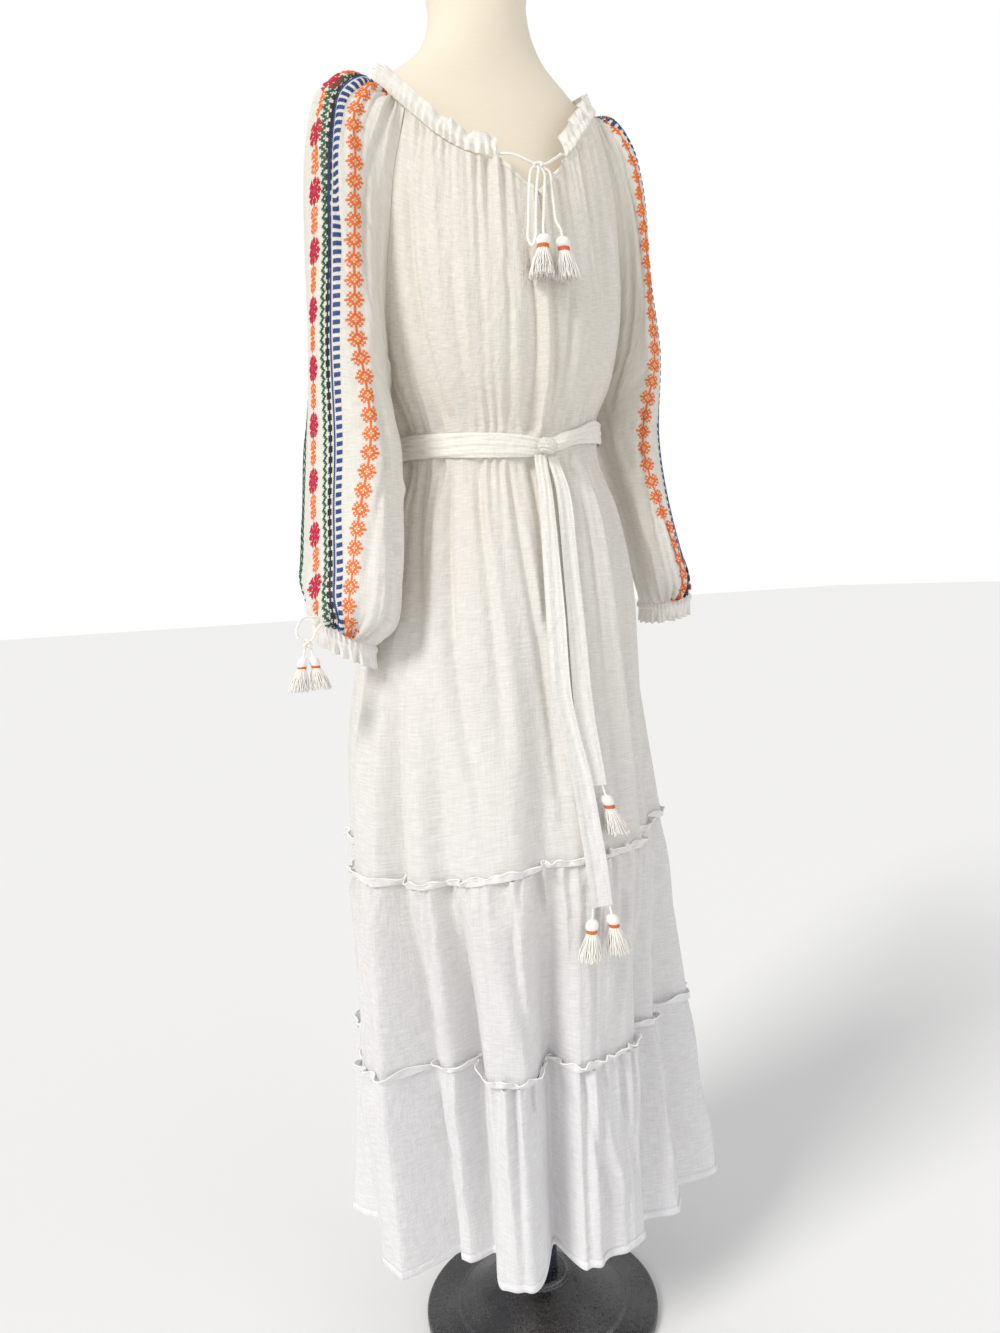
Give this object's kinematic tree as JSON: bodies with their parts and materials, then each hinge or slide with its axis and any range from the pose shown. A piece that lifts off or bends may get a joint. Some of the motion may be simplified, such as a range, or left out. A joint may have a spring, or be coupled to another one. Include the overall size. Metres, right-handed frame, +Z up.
{
  "type": "peasant dress on a dress form",
  "caption": "Long gathered gauze peasant dress with embroidered raglan sleeves, tied belt and tassels, on a limbless dress form with a round metal stand.",
  "frame": {"origin": "centre of the stand's underside, on the floor", "axes": "+Z up, the wearer faces -Y, the wearer's right hand is at -X"},
  "size_m": [0.5496, 0.4123, 1.673],
  "materials": {
    "gauze": "thin off-white cotton gauze, slubby plain weave, matte",
    "string": "soft off-white cotton string and thread, matte",
    "form_cover": "cream stretched jersey cover, matte",
    "stand_metal": "dark gunmetal, satin, lightly worn"
  },
  "bodies": {
    "root": {"panel_front": "gauze", "panel_back": "gauze", "sleeve_right": "gauze", "sleeve_left": "gauze", "neck_frill": "gauze", "cuff_frill_right": "gauze", "cuff_frill_left": "gauze", "tier_middle_front": "gauze", "tier_middle_back": "gauze", "tier_bottom_front": "gauze", "tier_bottom_back": "gauze", "seam_frill_upper_front": "gauze", "seam_frill_upper_back": "gauze", "seam_frill_lower_front": "gauze", "seam_frill_lower_back": "gauze", "belt_band": "gauze", "belt_knot": "gauze", "belt_tail_long": "gauze", "belt_tail_short": "gauze", "belt_tassel_long_right": "string", "belt_tassel_long_left": "string", "belt_tassel_short": "string", "neck_tie": "string", "neck_cord_right": "string", "neck_cord_left": "string", "neck_loop": "string", "neck_end_right": "string", "neck_end_left": "string", "neck_tassel_right": "string", "neck_tassel_left": "string", "cuff_tie": "string", "cuff_cord_outer": "string", "cuff_cord_inner": "string", "cuff_tassel_outer": "string", "cuff_tassel_inner": "string", "dress_form": "form_cover", "stand_base": "stand_metal", "stand_pole": "stand_metal"}
  },
  "joints": []
}
